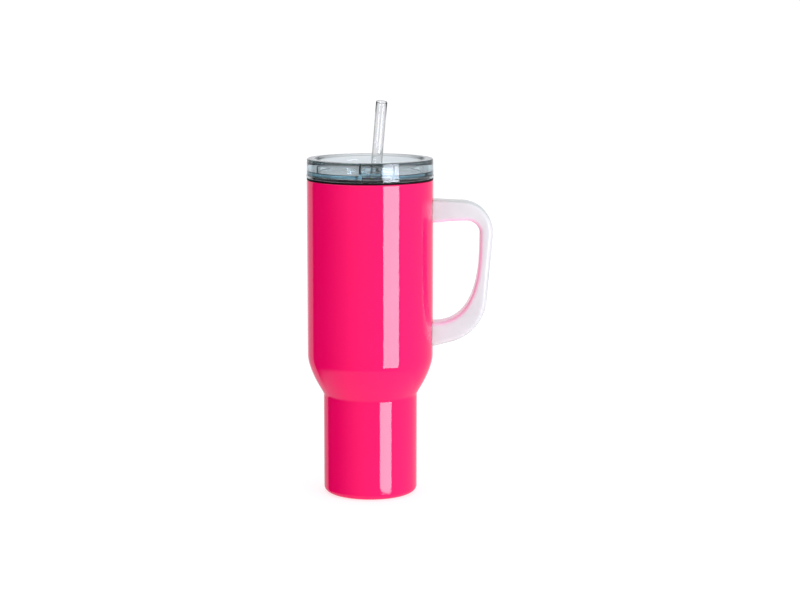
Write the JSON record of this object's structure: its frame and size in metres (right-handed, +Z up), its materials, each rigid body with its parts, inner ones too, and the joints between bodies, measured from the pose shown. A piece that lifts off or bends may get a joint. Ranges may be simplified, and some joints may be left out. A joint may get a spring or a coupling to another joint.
{
  "type": "insulated tumbler with lid",
  "caption": "Tall vacuum insulated steel tumbler with a narrow cup-holder foot, moulded side handle, clear press-in lid with a slide closure, and a drinking straw.",
  "frame": {"origin": "centre of the flat foot pad, on the surface the tumbler stands on", "axes": "+Z up along the cup's axis, +X towards the handle, -Y towards the drinking side of the lid"},
  "size_m": [0.144, 0.0984, 0.3094],
  "materials": {
    "pink_paint": "gloss paint over stainless steel",
    "steel": "brushed stainless steel",
    "copper": "bright copper foil",
    "grey_rubber": "matt moulded rubber",
    "black_silicone": "satin silicone",
    "clear_silicone": "translucent silicone",
    "smoke_clear": "polished clear plastic with a faint blue-grey tint",
    "straw_clear": "polished clear plastic",
    "frosted_clear": "milky translucent plastic with a satin surface",
    "glass_solder": "fused solder glass",
    "getter_grey": "sintered metal"
  },
  "bodies": {
    "cup": {"outer_shell": "pink_paint", "inner_liner": "steel", "base_plate": "steel", "base_pad": "grey_rubber", "vacuum_seal": "glass_solder", "getter_pellet": "getter_grey", "getter_clip": "steel", "copper_foil": "copper", "handle": "frosted_clear", "upper_bracket": "steel", "upper_screw": "steel", "upper_screw_plug": "clear_silicone", "lower_bracket": "steel", "lower_screw": "steel", "lower_screw_plug": "clear_silicone"},
    "lid": {"lid_shell": "smoke_clear", "lid_gasket": "clear_silicone", "flange_seal": "black_silicone"},
    "slider": {"slider": "smoke_clear"},
    "straw": {"straw": "straw_clear"}
  },
  "joints": [
    {"name": "lid_lift", "type": "slide", "parent": "cup", "child": "lid", "axis": [0, 0, 1], "range_m": [0, 0.24]},
    {"name": "slider_slide", "type": "slide", "parent": "lid", "child": "slider", "axis": [0.1392, -0.9903, 0], "range_m": [0, 0.0203]},
    {"name": "straw_pull", "type": "slide", "parent": "lid", "child": "straw", "axis": [0.0824, -0.215, 0.9731], "range_m": [0, 0.25]}
  ]
}
